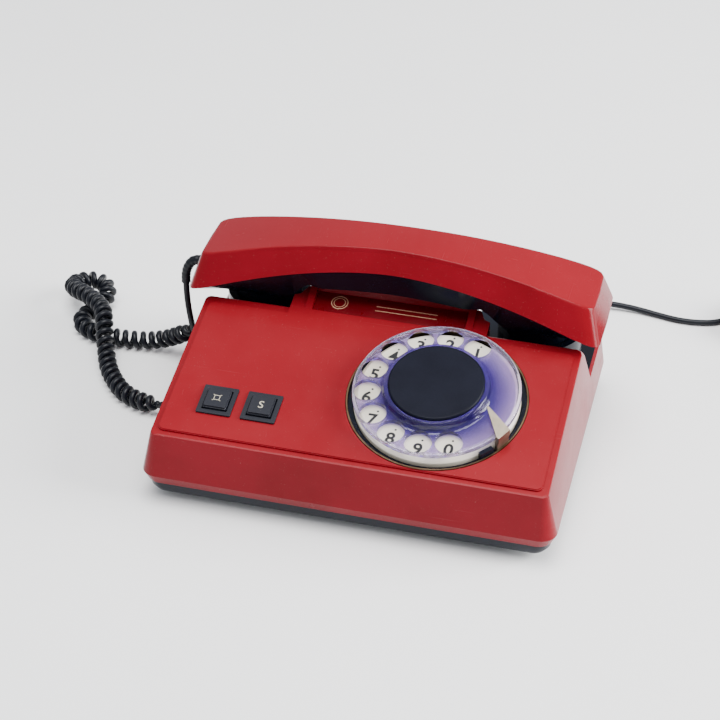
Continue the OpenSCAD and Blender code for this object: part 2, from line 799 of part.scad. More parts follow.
function xs(half_l) = [for (s = STATIONS) half_l * s];
function rim_loop(inset, drop) = loop(handset_half_l - inset,
    [for (x = xs(handset_half_l)) rim_half(x) - inset],
    [for (x = xs(handset_half_l)) rim_z(x) - drop], hand_y);
function top_loop(inset, drop) = loop(98.7 - inset,
    [for (x = xs(98.7)) top_half(x) - inset],
    [for (x = xs(98.7)) top_z(x) - drop], hand_y);

module handset_shell() {
    color("firebrick") difference() {
        union() {
            difference() {
                loft([rim_loop(0, 0), top_loop(0, 1.6), top_loop(0.5, 0.5), top_loop(1.6, 0)]);
                loft([rim_loop(hand_wall - 0.5, 2), rim_loop(hand_wall, 0),
                    top_loop(hand_wall, hand_wall + 0.6)]);
            }
            at_hand_screws() translate([0, 0, hand_boss_z]) cylinder(r = 4, h = 92 - hand_boss_z);
        }
        at_hand_screws() translate([0, 0, hand_boss_z - 1]) cylinder(r = 1.55, h = 12);
        boot_hole();
    }
}

function cover_rim(inset, drop) = loop(handset_half_l - 0.8 - inset,
    [for (x = xs(handset_half_l)) rim_half(x) - 0.8 - inset],
    [for (x = xs(handset_half_l)) rim_z(x) - 0.3 - drop], hand_y);
function cover_floor(inset, rise) = loop(98.4 - inset,
    [for (x = xs(98.4)) (rim_half(x) - 2) * (1 - ramp(x)) + 18.4 * ramp(x) - inset],
    [for (x = xs(98.4)) cover_z(x) + rise], hand_y + 0.8, 4.8);

module handset_cover() {
    color("#121317") difference() {
        loft([cover_floor(0, 0), cover_rim(0, 0)]);
        loft([cover_floor(2, 2), cover_rim(2, -0.2)]);
        for (x = [-seat_x, seat_x])
            translate([x, seat_y, cover_flat_z - 1]) cylinder(r = 13, h = 4);
        at_hand_screws() translate([0, 0, 60]) cylinder(r = 1.7, h = 40);
        boot_hole();
    }
}

module talk_cap(x, rows) {
    translate([x, seat_y, cap_low_z]) difference() {
        rotate_extrude() polygon([[0, 1.6], [11.5, 1.2], [13, 0], [15.5, 0], [cap_r, 1],
            [cap_r, 9.4], [12.8, 9.4], [12.8, 4], [0, 4]]);
        for (r = rows, a = [0 : 360 / (r * 1.6) : 359])
            rotate(a) translate([r, 0, -1]) cylinder(r = 0.8, h = 8, $fn = 16);
    }
}

module ear_cap() { color("#121317") talk_cap(-seat_x, [3.75, 7.5]); }
module mouth_cap() { color("#121317") talk_cap(seat_x, [5]); }

module capsule(x, r) {
    translate([x, seat_y, cap_low_z + 4.3]) {
        cylinder(r = r, h = 4.8);
        translate([0, 0, 4.8]) cylinder(r = r - 0.4, h = 7);
    }
}

module receiver_capsule() { color("silver") capsule(-seat_x, 12.4); }
module transmitter_capsule() { color("dimgray") capsule(seat_x, 12.4); }

module handset_screws() {
    color("silver") at_hand_screws() {
        translate([0, 0, 69.6]) cylinder(r = 2.8, h = 1.6);
        translate([0, 0, 71.2]) cylinder(r = 1.5, h = 13.2);
    }
}

// Soft sleeve on the handset's left end, bending down to the cord
module handset_boot() {
    color("#101114") tube(BOOT_ROUTE, 5.2, 12);
}

module body_boot() {
    color("#101114") translate([-86.2, -12.5, 9]) rotate([0, -90, 0]) rotate_extrude()
        polygon([[0, 0], [3, 0], [3, 11.2], [4, 11.6], [4, 13], [3.2, 14], [2, 23.6], [0, 23.6]]);
}

module handset_cord_tail() { color("#101114") tube(TAIL_ROUTE, cord_d, 8); }
module handset_cord_curl() { color("#101114") tube(CURL_ROUTE, curl_d, 12); }
module handset_cord_end() { color("#101114") tube(END_ROUTE, cord_d, 8); }

module line_gland() {
    color("#101114") translate([55, 65, 11]) rotate([-90, 0, 0]) rotate_extrude()
        polygon([[0, 0], [3, 0], [3, 10.6], [4.2, 11], [4.2, 13], [3.2, 14], [2, 36], [0, 36]]);
}

module line_cord() { color("#101114") tube(LINE_ROUTE, cord_d, 8); }

module line_cord_coil() {
    color("#101114") translate([COIL_AT[0], COIL_AT[1], 0]) rotate_extrude()
        translate([COIL_R - COIL_W / 2, 0]) union() {
            translate([1.6, 0]) square([COIL_W - 3.2, COIL_W]);
            translate([0, 1.6]) square([COIL_W, COIL_W - 3.2]);
            for (x = [1.6, COIL_W - 1.6], y = [1.6, COIL_W - 1.6]) translate([x, y]) circle(1.6);
        }
}

// Wall plug on the far end of the line cord, with its prongs
module line_plug() {
    color("#16171b") translate([PLUG_AT[0], PLUG_AT[1], 0]) {
        translate([0, 0, 0.1]) rounded_block(24, 26, 15, 3);
        translate([0, 13, 7]) rotate([-90, 0, 0]) cylinder(r1 = 4, r2 = 2.2, h = 8);
    }
    color("silver") translate([PLUG_AT[0], PLUG_AT[1] - 13, 7.5])
        for (x = [-6, 6], z = [-4, 4]) translate([x, 0, z]) rotate([90, 0, 0]) cylinder(r = 1.5, h = 12);
}

base_pan();
rubber_feet();
housing_screws();
upper_housing();
nameplate();
key_bezel_left();
key_bezel_right();
key_switch_left();
key_switch_right();
key_cap_left();
key_cap_right();
dial_trim_ring();
dial_mount_ring();
number_plate();
finger_stop();
dial_frame();
dial_back_plate();
dial_pillars();
dial_bush();
mainspring();
dial_contacts();
finger_wheel();
hub_cap();
dial_shaft();
main_gear();
pinion_gear();
pulse_cam();
governor();
governor_weights();
circuit_board();
transformer();
capacitor();
terminal_block();
board_screws();
gong_large();
gong_small();
gong_posts();
ringer_coil();
clapper();
hook_plungers();
hook_yoke();
hook_spring();
hook_contacts();
handset_shell();
handset_cover();
ear_cap();
mouth_cap();
receiver_capsule();
transmitter_capsule();
handset_screws();
handset_boot();
body_boot();
handset_cord_tail();
handset_cord_curl();
handset_cord_end();
line_gland();
line_cord();
line_cord_coil();
line_plug();
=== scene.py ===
# %% [markdown]
# # A low desk telephone with a rotary dial
# The telephone is a red moulded housing on a black pan, with a handset lying across the back, a
# clear violet finger wheel over a cream number plate, and two small push keys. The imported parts
# give every size and every moving body, so this lesson only adds what makes them look real:
# rounded edges, printed numbers, wound cords and finishes.

# %% Load the fixed frame
import json
import math

import bmesh
import bpy
import numpy as np
from mathutils import Matrix, Vector
from mathutils.geometry import interpolate_bezier


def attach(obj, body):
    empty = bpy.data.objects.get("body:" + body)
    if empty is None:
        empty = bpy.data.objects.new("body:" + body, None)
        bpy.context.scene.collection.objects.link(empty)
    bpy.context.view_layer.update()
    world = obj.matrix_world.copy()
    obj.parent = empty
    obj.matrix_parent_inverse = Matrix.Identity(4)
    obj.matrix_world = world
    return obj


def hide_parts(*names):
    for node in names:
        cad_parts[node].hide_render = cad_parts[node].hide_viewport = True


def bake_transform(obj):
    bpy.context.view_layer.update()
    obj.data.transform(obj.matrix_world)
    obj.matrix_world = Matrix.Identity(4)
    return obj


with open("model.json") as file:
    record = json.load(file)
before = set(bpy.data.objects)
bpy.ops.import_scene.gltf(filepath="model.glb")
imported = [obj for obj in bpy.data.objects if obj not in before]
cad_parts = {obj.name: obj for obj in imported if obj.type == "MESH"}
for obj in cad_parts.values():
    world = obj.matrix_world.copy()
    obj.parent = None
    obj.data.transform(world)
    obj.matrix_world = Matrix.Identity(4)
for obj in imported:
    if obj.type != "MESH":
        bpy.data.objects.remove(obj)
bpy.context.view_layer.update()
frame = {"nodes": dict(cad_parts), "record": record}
cad = frame["nodes"]
MM = 0.001
SLOPE = math.radians(13.5)
FRONT_Y, FRONT_Z = -73, 38


def on_panel(across, up, high=0):
    """A point on the sloped panel: across and up its face, and high above it, in millimetres."""
    y = FRONT_Y + up * math.cos(SLOPE) - high * math.sin(SLOPE)
    z = FRONT_Z + up * math.sin(SLOPE) + high * math.cos(SLOPE)
    return Vector((across, y, z)) * MM


DIAL_ACROSS, DIAL_UP = 33.3, 47.2
DIAL_AT = on_panel(DIAL_ACROSS, DIAL_UP, 6.7)

# %% [markdown]
# ## Camera
# The camera comes first, because the cords are laid so that their spare length is out of its
# view. A long lens from a little above the front, turned to the right, keeps edges calm.

# %% Camera
EYE = Vector((178.1, -722.5, 578.0)) * MM
AIM = Vector((7.8, -73.0, 99.2)) * MM
camera_data = bpy.data.cameras.new("camera")
camera_data.sensor_width = 36
camera_data.lens = 93.93
camera = bpy.data.objects.new("camera", camera_data)
bpy.context.scene.collection.objects.link(camera)
camera.location = EYE
camera.rotation_euler = (AIM - EYE).to_track_quat("-Z", "Y").to_euler()
bpy.context.scene.camera = camera
print("camera distance in metres:", round((AIM - EYE).length, 3))

# %% [markdown]
# ## Lines for the cords
# A cord follows a route of a few listed points. Bezier spans through those points give a
# smooth line, and points an even step apart along it are what a winding or a tube needs.


# %% Smooth lines
def smooth_line(points, spans=10):
    """A smooth line through points in millimetres, returned in metres."""
    p = [Vector(q) * MM for q in points]
    p = [2 * p[0] - p[1], *p, 2 * p[-1] - p[-2]]
    line = []
    for a, b, c, d in zip(p, p[1:], p[2:], p[3:]):
        line += interpolate_bezier(b, b + (c - a) / 6, c - (d - b) / 6, c, spans + 1)[:-1]
    return [*line, p[-2]]


def measure(line):
    """How far along the line each of its points is."""
    steps = [(b - a).length for a, b in zip(line, line[1:])]
    return np.concatenate([[0], np.cumsum(steps)])


def even_points(line, step):
    """The same line with its points an even step apart."""
    along = measure(line)
    count = max(2, round(along[-1] / step))
    places = np.linspace(0, along[-1], count + 1)
    columns = [np.interp(places, along, [p[i] for p in line]) for i in range(3)]
    return [Vector(p) for p in zip(*columns)]


# %% [markdown]
# A curly cord is its cable wound round a middle line. The winding turns a little with each point,
# in a frame that is carried along the line without twisting, and its radius grows from nothing
# over the first turns so that the cable leaves the straight part smoothly.


# %% Winding
def wound(line, radius, per_turn, fade_turns=1.5):
    """The line wound as a helix, with per_turn points to each turn."""
    last = len(line) - 1
    side = Vector((0, 0, 1))
    points = []
    for i, place in enumerate(line):
        along = (line[min(i + 1, last)] - line[max(i - 1, 0)]).normalized()
        side = (side - along * side.dot(along)).normalized()
        turned = 2 * math.pi * i / per_turn
        fade = min(1, i / (fade_turns * per_turn), (last - i) / (fade_turns * per_turn))
        out = side * math.cos(turned) + along.cross(side) * math.sin(turned)
        points.append(place + out * radius * fade)
    return points


def placed(name, data):
    """An object in the scene that shows a mesh or a curve."""
    piece = bpy.data.objects.new(name, data)
    bpy.context.scene.collection.objects.link(piece)
    return piece


def mesh_from(curve):
    """The mesh that a curve makes; the curve itself does not stay in the scene."""
    holder = placed(curve.name, curve)
    depsgraph = bpy.context.evaluated_depsgraph_get()
    mesh = bpy.data.meshes.new_from_object(holder.evaluated_get(depsgraph))
    bpy.data.objects.remove(holder)
    return mesh


def tube(name, places, radii, roundness):
    """A round tube whose rings are the places, each with its own radius in metres."""
    curve = bpy.data.curves.new(name + "_line", "CURVE")
    curve.dimensions = "3D"
    curve.bevel_depth = 1.0
    curve.bevel_resolution = roundness
    curve.use_fill_caps = True
    spline = curve.splines.new("POLY")
    spline.points.add(len(places) - 1)
    for point, place, radius in zip(spline.points, places, radii):
        point.co = (*place, 1)
        point.radius = radius
    mesh = mesh_from(curve)
    mesh.name = name
    mesh.shade_smooth()
    return placed(name, mesh)


def cord_piece(name, path, diameter):
    return tube(name, path, [diameter / 2] * len(path), 3)


# %% [markdown]
# ## The handset cord
# It leaves the boot at the handset's left end, drops straight, and then curls: out to the left on
# the table, round in a loop that crosses over itself in low humps, and back to a boot in the
# body's left side. All of its length shows. The wound cable is 3.2 mm thick and the curl is 10 mm
# across.

# %% Handset cord route
CABLE = 3.2
CURL_ACROSS = 10
CURL_PITCH = 5
POINTS_A_TURN = 14
TAIL_ROUTE = [
    (-112.2, 34.2, 53), (-112.2, 34.2, 46), (-111.9, 34.4, 38), (-111.5, 35.2, 31),
    (-111.4, 36.6, 25), (-112, 38, 21),
]
CURL_ROUTE = [
    (-112, 38, 21), (-120, 41, 14), (-129, 43, 8.5), (-139, 43, 5.6), (-149, 42, 5.2),
    (-159, 42, 5.2), (-169, 43, 5.2), (-177, 47, 5.2), (-181, 54, 5.2), (-179, 62, 5.4),
    (-176, 69, 6), (-175, 76, 7), (-178, 83, 8), (-185, 86, 9), (-192, 82, 10),
    (-194, 75, 11.5), (-189, 68, 13.5), (-182, 63, 15.4), (-174, 57, 16),
    (-167, 50, 16), (-163, 42, 15.6), (-160, 34, 12), (-156, 25, 7.5), (-151, 15, 5.3),
    (-144, 5, 5.2), (-135, -4, 5.2), (-124, -9, 5.4), (-113, -12, 7),
]
END_ROUTE = [(-113, -12, 7), (-111.5, -12.4, 8.2), (-109.9, -12.5, 9)]

curl_line = even_points(smooth_line(CURL_ROUTE), CURL_PITCH * MM / POINTS_A_TURN)
curl = wound(curl_line, (CURL_ACROSS - CABLE) / 2 * MM, POINTS_A_TURN)
handset_cord_path = [
    *even_points(smooth_line(TAIL_ROUTE), 2 * MM)[:-1],
    *curl,
    *even_points(smooth_line(END_ROUTE), 1 * MM)[1:],
]
handset_cord = cord_piece("curly_cord", handset_cord_path, CABLE * MM)
print("turns:", round(len(curl) / POINTS_A_TURN, 1))

# %% [markdown]
# ## The line cord
# It comes out of the rear, swings to the right along the table, and its spare length is wound in
# a neat coil: four layers of turns that lie beside and on each other. Each layer runs in or out
# by one cable thickness a turn, and then climbs to the next.

# %% Line cord route
LINE_ROUTE = [
    (55, 101, 11), (55, 108, 9), (56, 116, 7), (59, 124, 5), (64, 131, 3.5),
    (71, 137, 3), (80, 141, 3.2), (90, 143, 3.4), (100, 143.6, 3), (110, 143.2, 2.2),
    (120, 141.6, 1.7), (130, 139.6, 1.7), (140, 139.6, 1.7), (150, 142, 1.7),
    (158, 148, 1.7), (165, 156, 1.7),
]
COIL_AT = Vector((186, 146, 0))
COIL_OUTER, COIL_INNER = 22.9, 13.1
COIL_LOW, COIL_LAYER = 1.65, 3.22
COIL_START = math.radians(154.5)
COIL_TURNS = 13 + 154.5 / 360
LAYERS = 4
CLIMB = 0.11


def coil_point(share):
    """A point of the coil, for a share from 0 at its start to 1 at its end."""
    layer = min(LAYERS - 1, int(share * LAYERS))
    part = share * LAYERS - layer
    run = min(1, part / (1 - CLIMB))
    rise = max(0, (part - 1 + CLIMB) / CLIMB) if layer < LAYERS - 1 else 0
    rise = rise * rise * (3 - 2 * rise)
    inward = run if layer % 2 == 0 else 1 - run
    radius = COIL_OUTER + (COIL_INNER - COIL_OUTER) * inward
    angle = COIL_START - 2 * math.pi * COIL_TURNS * share
    height = COIL_LOW + COIL_LAYER * (layer + rise)
    return COIL_AT + Vector((radius * math.cos(angle), radius * math.sin(angle), height))


coil_steps = round(COIL_TURNS * 24)
coil_points = [coil_point(i / coil_steps) for i in range(coil_steps + 1)]
PLUG_LEAD = [(208.9, 137, 10.8), (208.7, 130, 9), (208.5, 123.4, 7.2)]
line_cord_path = even_points(smooth_line([*LINE_ROUTE, *coil_points[1:], *PLUG_LEAD], 4), 2 * MM)
line_cord = cord_piece("line_lead", line_cord_path, CABLE * MM)

# %% [markdown]
# ## Finishes
# Each finish is a small network that reads Object coordinates, so its grain stays on the piece.
# One helper adds a node and wires it, which keeps each recipe short. A recipe has slow colour
# change from age, fine waviness from the mould, and dust and hair scratches that change the
# roughness more than the colour.


# %% Node helper
class Finish:
    """A material with one Principled shader, and a short way to add nodes to it."""

    def __init__(self, name, **shader_values):
        self.material = bpy.data.materials.new(name)
        self.material.use_nodes = True
        self.tree = self.material.node_tree
        self.shader = next(n for n in self.tree.nodes if n.type == "BSDF_PRINCIPLED")
        where = self.add("ShaderNodeTexCoord")
        self.place, self.normal = where.outputs["Object"], where.outputs["Normal"]
        for key, value in shader_values.items():
            self.shader.inputs[key.replace("_", " ")].default_value = value

    def add(self, kind, inputs=None, **settings):
        node = self.tree.nodes.new(kind)
        for key, value in settings.items():
            setattr(node, key, value)
        for key, value in (inputs or {}).items():
            if isinstance(value, bpy.types.NodeSocket):
                self.tree.links.new(value, node.inputs[key])
            else:
                node.inputs[key].default_value = value
        return node

    def noise(self, scale, detail=3, roughness=0.5, at=None):
        inputs = {"Vector": at or self.place, "Scale": scale, "Detail": detail, "Roughness": roughness}
        return self.add("ShaderNodeTexNoise", inputs).outputs["Fac"]

    def stretched(self, scale, stretch, turn=0):
        """Noise drawn out along one way, for scratches and brushing."""
        mapping = self.add("ShaderNodeMapping", {"Vector": self.place, "Scale": stretch,
                                                 "Rotation": (0, 0, turn)})
        return self.noise(scale, 2, 0.5, mapping.outputs["Vector"])

    def ramp(self, value, low, high, dark=0.0, light=1.0):
        """A value spread from dark to light while it goes from low to high."""
        inputs = {"Value": value, "From Min": low, "From Max": high, "To Min": dark, "To Max": light}
        return self.add("ShaderNodeMapRange", inputs).outputs["Result"]

    def mix(self, share, a, b):
        node = self.add("ShaderNodeMix", {"Factor": share}, data_type="RGBA")
        for socket, value in zip(("A", "B"), (a, b)):
            slot = [s for s in node.inputs if s.name == socket and s.type == "RGBA"][0]
            if isinstance(value, bpy.types.NodeSocket):
                self.tree.links.new(value, slot)
            else:
                slot.default_value = (*value, 1)
        return [s for s in node.outputs if s.type == "RGBA"][0]

    def bumps(self, *layers):
        """Stacks bumps; each layer is a height and its depth in metres."""
        normal = None
        for height, depth in layers:
            inputs = {"Height": height, "Distance": depth, "Strength": 1.0}
            if normal:
                inputs["Normal"] = normal
            normal = self.add("ShaderNodeBump", inputs).outputs["Normal"]
        self.tree.links.new(normal, self.shader.inputs["Normal"])

    def drive(self, socket, value):
        self.tree.links.new(value, self.shader.inputs[socket])


# %% [markdown]
# ### Moulded plastic
# Injection-moulded ABS is glossy but never a mirror: its surface waves a little at the scale of a
# centimetre, is mottled by years of light, and carries dust and hair-fine scratches.


# %% Moulded plastic
def moulded(name, dark, light, gloss, wave=0.000012, dust=(0.6, 0.55, 0.5), dust_share=0.25,
            film=None, **more):
    """Moulded plastic; film is a painted sheen: a lighter tone painted on what faces up."""
    finish = Finish(name, Roughness=gloss, **more)
    mottle = finish.ramp(finish.noise(22, 4, 0.6), 0.35, 0.65)
    body = finish.mix(mottle, dark, light)
    # Painted sheen: faces that point up are mixed towards the lighter film tone, in noise patches.
    if film:
        up = finish.add("ShaderNodeSeparateXYZ", {"Vector": finish.normal}).outputs["Z"]
        cover = finish.add("ShaderNodeMath", {0: finish.ramp(up, 0.6, 0.98),
                                              1: finish.ramp(finish.noise(14, 5, 0.6), 0.3, 0.7, 0.6, 1)},
                           operation="MULTIPLY").outputs[0]
        body = finish.mix(cover, body, film)
    speck = finish.ramp(finish.noise(2600, 1, 0.5), 0.76, 0.8, 0, dust_share)
    finish.drive("Base Color", finish.mix(speck, body, dust))
    smear = finish.ramp(finish.noise(55, 5, 0.65), 0.4, 0.75, 0, 0.09)
    hair_a = finish.ramp(finish.stretched(900, (1, 0.03, 1), 0.5), 0.7, 0.78, 0, 0.16)
    hair_b = finish.ramp(finish.stretched(800, (0.03, 1, 1), 0.2), 0.71, 0.79, 0, 0.16)
    rough = finish.add("ShaderNodeMath", {0: smear, 1: hair_a}, operation="ADD").outputs[0]
    rough = finish.add("ShaderNodeMath", {0: rough, 1: hair_b}, operation="ADD").outputs[0]
    rough = finish.add("ShaderNodeMath", {0: rough, 1: gloss}, operation="ADD").outputs[0]
    finish.drive("Roughness", rough)
    finish.bumps((finish.noise(140, 2, 0.5), wave), (finish.noise(1500, 2, 0.5), wave / 6))
    return finish.material


# The film tone on red is a painted sheen on its up-facing faces.
RED = moulded("red_plastic", (0.145, 0.001, 0.005), (0.18, 0.002, 0.008), 0.2,
              film=(0.215, 0.008, 0.013), Specular_IOR_Level=0.13)
NAMEPLATE_RED = moulded("nameplate_red", (0.10, 0.0005, 0.003), (0.13, 0.001, 0.005), 0.26,
                        Specular_IOR_Level=0.4)
BLACK = moulded("black_plastic", (0.002, 0.003, 0.008), (0.004, 0.006, 0.012), 0.2,
                dust_share=0.06, Specular_IOR_Level=0.18)
KEY_BLACK = moulded("key_plastic", (0.005, 0.006, 0.011), (0.009, 0.010, 0.016), 0.34,
                    dust_share=0.15, Specular_IOR_Level=0.25)
SWITCH = moulded("switch_plastic", (0.075, 0.05, 0.035), (0.11, 0.075, 0.05), 0.4)
IVORY = moulded("ivory_plastic", (0.66, 0.60, 0.47), (0.76, 0.71, 0.60), 0.3,
                dust=(0.3, 0.22, 0.12), dust_share=0.2)
PLUG_BLACK = moulded("plug_plastic", (0.011, 0.011, 0.013), (0.017, 0.017, 0.019), 0.34)

# %% [markdown]
# ### Hub of the dial
# The round cap in the middle is matt black with a faint grain and a thin film of dust.


# %% Hub finish
def hub_finish():
    finish = Finish("hub_black", Roughness=0.42, Specular_IOR_Level=0.1)
    film = finish.ramp(finish.noise(60, 5, 0.6), 0.3, 0.75)
    grain = finish.ramp(finish.noise(1900, 2, 0.6), 0.35, 0.7, 0, 0.5)
    tone = finish.mix(film, (0.001, 0.0015, 0.006), (0.003, 0.004, 0.011))
    finish.drive("Base Color", finish.mix(grain, tone, (0.005, 0.006, 0.013)))
    finish.drive("Roughness", finish.ramp(film, 0, 1, 0.36, 0.5))
    finish.bumps((finish.noise(1400, 2, 0.5), 0.00001))
    return finish.material


HUB = hub_finish()

# %% [markdown]
# ### Clear violet acrylic
# The finger wheel is tinted acrylic. Light passes through it, so it is all transmission with a
# pale violet tint, and its gloss is broken by finger marks and scratches near the holes.


# %% Violet acrylic
def violet_finish():
    finish = Finish("violet_clear", Roughness=0.06, IOR=1.46, Transmission_Weight=0.92, Alpha=0.85)
    axis = Vector((0, -math.sin(SLOPE), math.cos(SLOPE)))
    facing = finish.add("ShaderNodeVectorMath", {0: finish.normal, 1: axis}, operation="DOT_PRODUCT")
    upright = finish.add("ShaderNodeMath", {0: facing.outputs["Value"]}, operation="ABSOLUTE").outputs[0]
    wall = finish.ramp(upright, 0.25, 0.8, 1, 0)
    offset = finish.add("ShaderNodeVectorMath", {0: finish.place, 1: DIAL_AT}, operation="SUBTRACT")
    reach = finish.add("ShaderNodeVectorMath", {0: offset.outputs[0]}, operation="LENGTH").outputs["Value"]
    near_boss = finish.ramp(reach, 0.027, 0.036, 1, 0)
    cloud = finish.ramp(finish.noise(35, 3, 0.5), 0.35, 0.65)
    clear = finish.mix(cloud, (0.42, 0.30, 0.70), (0.53, 0.41, 0.78))
    # Painted shade: this deeper violet goes on the walls that face sideways.
    shaded_violet = finish.mix(cloud, (0.04, 0.02, 0.36), (0.08, 0.04, 0.48))
    tone = finish.mix(near_boss, clear, (0.10, 0.055, 0.42))
    # Painted highlight: a pale ring of colour at the wheel's rim.
    painted_rim_highlight = finish.ramp(reach, 0.0375, 0.0385)
    tone = finish.mix(painted_rim_highlight, tone, (0.74, 0.68, 0.92))
    # Painted shade on the hole walls, weaker on the outer rim wall.
    painted_wall_shade = finish.add("ShaderNodeMath", {0: wall, 1: finish.ramp(reach, 0.0385, 0.0392, 1, 0.1)},
                            operation="MULTIPLY").outputs[0]
    finish.drive("Base Color", finish.mix(painted_wall_shade, tone, shaded_violet))
    finish.drive("Roughness", finish.ramp(finish.noise(90, 5, 0.7), 0.45, 0.8, 0.03, 0.14))
    finish.bumps((finish.noise(220, 2, 0.5), 0.00001))
    return finish.material


VIOLET = violet_finish()


# %% [markdown]
# ### Rubber, cord vinyl and print
# The cords are soft vinyl with a satin skin that picks up lint. Feet are duller. Print is a thin
# film with a slightly uneven tone.


# %% Soft finishes
def soft_finish(name, dark, light, rough, grain, lint_share=0.12, sheen=0.25):
    finish = Finish(name, Roughness=rough, Specular_IOR_Level=sheen)
    tone = finish.mix(finish.ramp(finish.noise(70, 4, 0.6), 0.35, 0.7), dark, light)
    lint = finish.ramp(finish.noise(3000, 1, 0.5), 0.72, 0.8, 0, lint_share)
    finish.drive("Base Color", finish.mix(lint, tone, (0.12, 0.12, 0.13)))
    finish.drive("Roughness", finish.ramp(finish.noise(260, 3, 0.6), 0.3, 0.7, rough - 0.07, rough + 0.1))
    finish.bumps((finish.noise(1200, 3, 0.6), grain))
    return finish.material


CORD = soft_finish("cord_rubber", (0.002, 0.003, 0.006), (0.005, 0.006, 0.010), 0.34, 0.00002)
FOOT = soft_finish("foot_rubber", (0.014, 0.014, 0.015), (0.024, 0.024, 0.025), 0.72, 0.00006)
BLACK_PRINT = soft_finish("black_print", (0.012, 0.012, 0.014), (0.02, 0.02, 0.022), 0.45, 0.000004)


def light_print(name, dark, light):
    finish = Finish(name, Roughness=0.4)
    worn = finish.ramp(finish.noise(900, 4, 0.65), 0.35, 0.7)
    finish.drive("Base Color", finish.mix(worn, dark, light))
    finish.bumps((finish.noise(2400, 2, 0.5), 0.000004))
    return finish.material


CREAM_PRINT = light_print("cream_print", (0.34, 0.31, 0.23), (0.5, 0.46, 0.36))
GOLD_PRINT = light_print("gold_print", (0.46, 0.22, 0.12), (0.72, 0.5, 0.32))


# %% [markdown]
# ### Metals, the board and the cans
# Metal parts are brushed: long thin streaks change the roughness and tilt the light.


# %% Metals
def metal(name, dark, light, rough, stretch=(1, 0.04, 1)):
    finish = Finish(name, Metallic=1.0, Roughness=rough)
    streak = finish.stretched(700, stretch)
    stain = finish.ramp(finish.noise(90, 4, 0.6), 0.35, 0.7)
    finish.drive("Base Color", finish.mix(stain, dark, light))
    finish.drive("Roughness", finish.ramp(streak, 0.3, 0.7, rough - 0.08, rough + 0.12))
    finish.bumps((streak, 0.000006))
    return finish.material


STEEL = metal("steel", (0.5, 0.5, 0.5), (0.64, 0.64, 0.63), 0.3)
BLUED = metal("spring_steel", (0.22, 0.24, 0.3), (0.32, 0.34, 0.4), 0.3)
BRASS = metal("brass", (0.52, 0.36, 0.16), (0.7, 0.52, 0.27), 0.26)
CAN = metal("capacitor_can", (0.62, 0.62, 0.64), (0.74, 0.74, 0.76), 0.35, (0.04, 1, 1))
BOARD = moulded("board", (0.30, 0.17, 0.07), (0.38, 0.23, 0.10), 0.5)

STOP = metal("stop_beige", (0.24, 0.20, 0.15), (0.34, 0.29, 0.23), 0.4)
TRIM_GOLD = metal("trim_gold", (0.07, 0.045, 0.025), (0.15, 0.10, 0.055), 0.4)

SLOT_FINISH = {
    "red_plastic": RED, "nameplate_red": NAMEPLATE_RED, "black_plastic": BLACK,
    "key_plastic": KEY_BLACK, "switch_plastic": SWITCH, "ivory_plastic": IVORY,
    "violet_clear": VIOLET, "foot_rubber": FOOT, "cord_rubber": CORD, "plug_plastic": PLUG_BLACK,
    "steel": STEEL, "spring_steel": BLUED, "brass": BRASS, "board": BOARD, "capacitor_can": CAN,
}
for part in frame["record"]["subparts"]:
    mesh = cad[part["node"]].data
    mesh.materials.clear()
    mesh.materials.append(SLOT_FINISH[part["material_slot"]])
cad["hub_cap"].data.materials[0] = HUB
cad["finger_stop"].data.materials[0] = STOP
cad["dial_trim_ring"].data.materials[0] = TRIM_GOLD
handset_cord.data.materials.append(CORD)
line_cord.data.materials.append(CORD)
print("finishes:", len(bpy.data.materials))

# %% [markdown]
# ## Rounding the moulded pieces
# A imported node's edges are sharp, but a moulding's never are. A copy of the node is merged, its
# flat faces are joined, and its sharp edges get a narrow round, which is what catches the light.


# %% Rounded copies
def link_mesh(name, bm, material):
    mesh = bpy.data.meshes.new(name)
    bm.to_mesh(mesh)
    bm.free()
    mesh.materials.append(material)
    return placed(name, mesh)


def merged_copy(node):
    bm = bmesh.new()
    bm.from_mesh(cad[node].data)
    bmesh.ops.remove_doubles(bm, verts=bm.verts[:], dist=0.004 * MM)
    bmesh.ops.dissolve_limit(bm, angle_limit=math.radians(0.6), verts=bm.verts[:], edges=bm.edges[:])
    return bm


def rounded_copy(node, name, radius, material, segments=2, sharp=32, shade=38):
    """A copy of a CAD node with its sharp edges rounded by radius in millimetres."""
    bm = merged_copy(node)
    limit = math.radians(sharp)
    edges = [e for e in bm.edges if len(e.link_faces) == 2 and e.calc_face_angle() > limit]
    if radius:
        bmesh.ops.bevel(bm, geom=edges, offset=radius * MM, offset_type="OFFSET", segments=segments,
                        profile=0.5, affect="EDGES", clamp_overlap=True, material=-1)
    piece = link_mesh(name, bm, material)
    piece.data.shade_smooth()
    piece.data.set_sharp_from_angle(angle=math.radians(shade))
    weighted = piece.modifiers.new("even_shading", "WEIGHTED_NORMAL")
    weighted.keep_sharp = True
    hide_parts(node)
    print(name, "faces:", len(piece.data.polygons), "edges rounded:", len(edges))
    return piece


def in_body(piece, body):
    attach(piece, body)
    return piece


# %% [markdown]
# ## Case, handset and finger wheel
# The housing is one moulding. Its deck under the handset and its two seats are given the black
# finish, as a guess, because no red is seen there.

